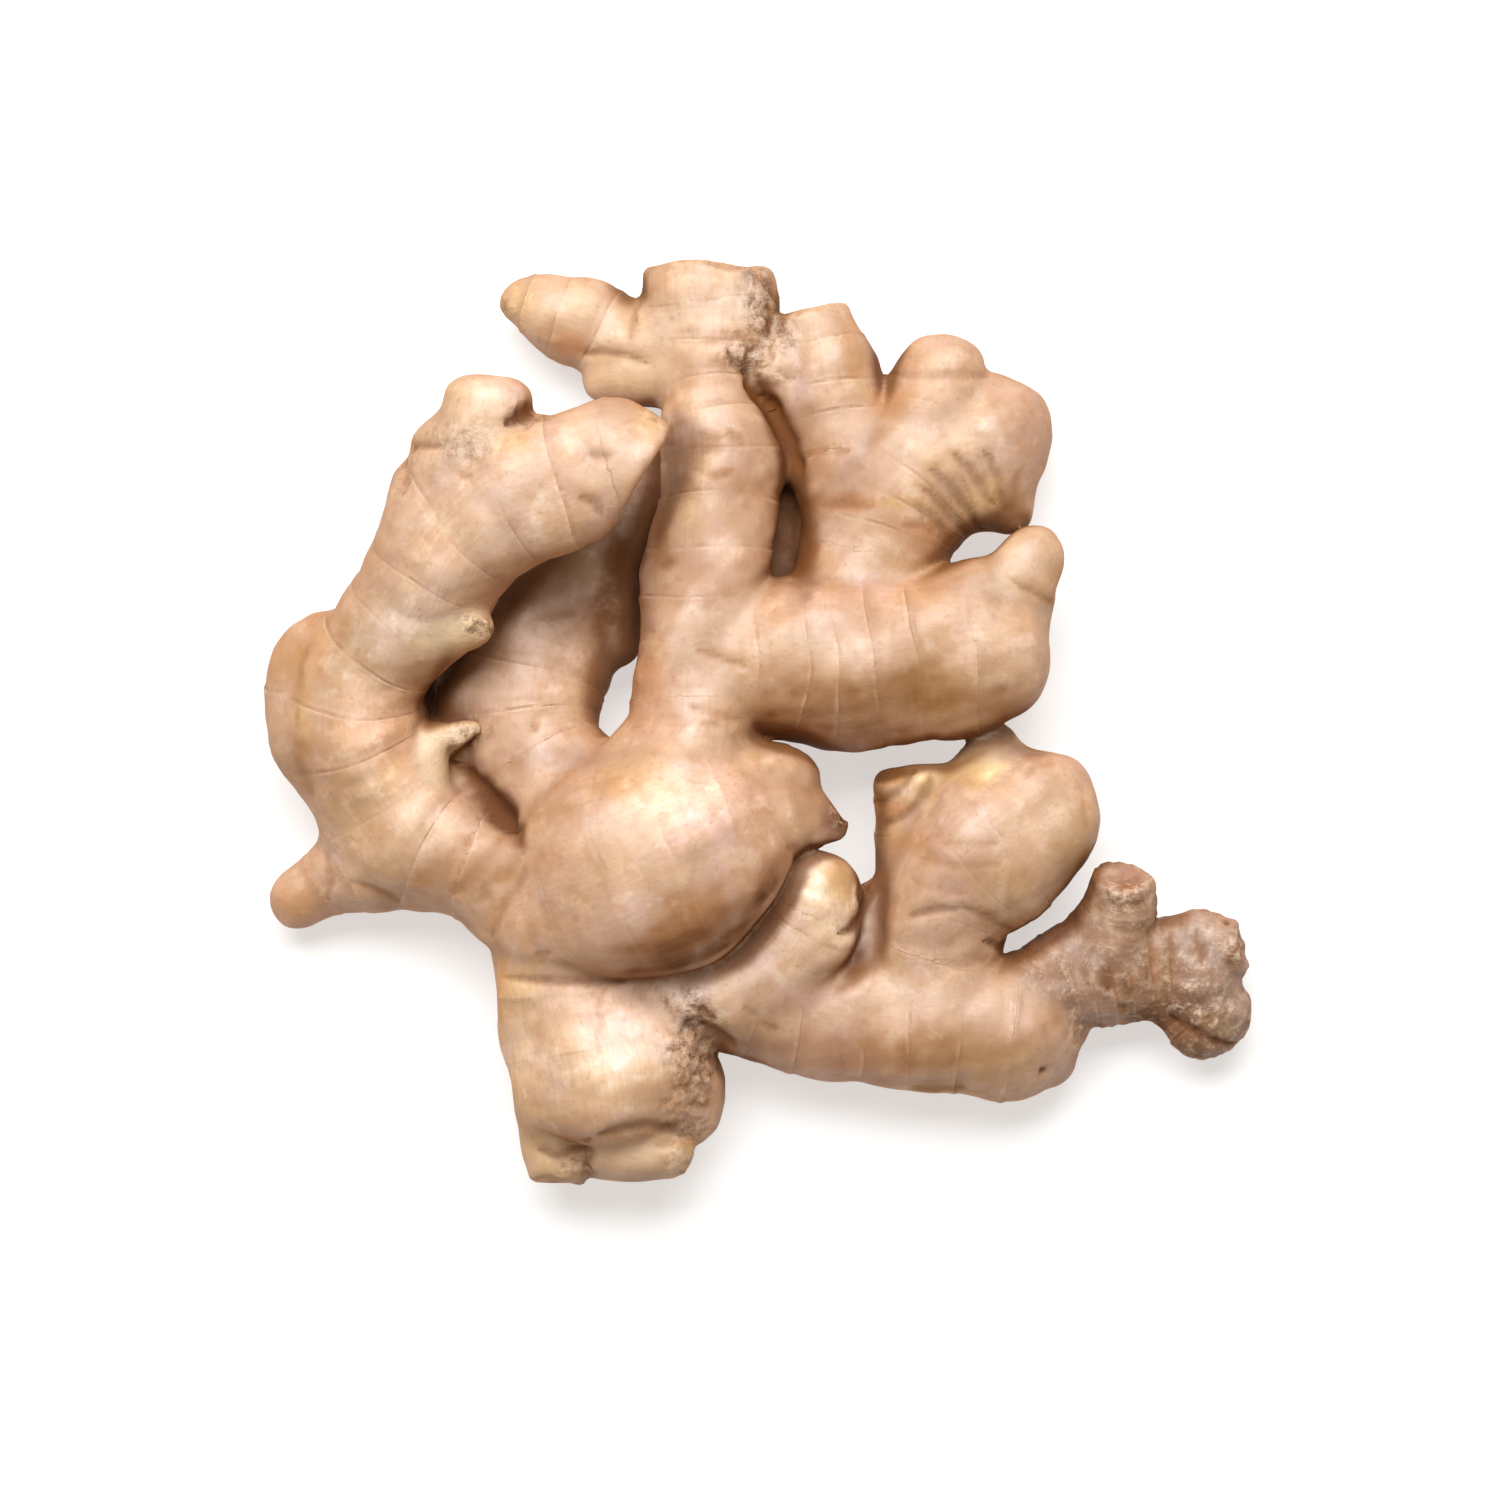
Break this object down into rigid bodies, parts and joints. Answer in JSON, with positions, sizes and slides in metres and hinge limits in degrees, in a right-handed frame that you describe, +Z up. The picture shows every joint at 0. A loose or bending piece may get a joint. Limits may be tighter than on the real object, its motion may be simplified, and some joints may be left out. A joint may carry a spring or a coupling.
{
  "type": "ginger root",
  "caption": "Whole fresh ginger root lying flat: a pale tan rhizome that branches into stout ringed fingers, knobs and buds.",
  "frame": {"origin": "on the surface that the root lies on, under the middle of its length and width", "axes": "+Z up from the surface; +X towards the old, dull branch at the tip of the longest low finger; +Y towards the neck's scarred head"},
  "size_m": [0.1668, 0.1566, 0.0475],
  "materials": {
    "ginger_skin": "satin"
  },
  "bodies": {
    "root": {"ginger_root": "ginger_skin"}
  },
  "joints": []
}
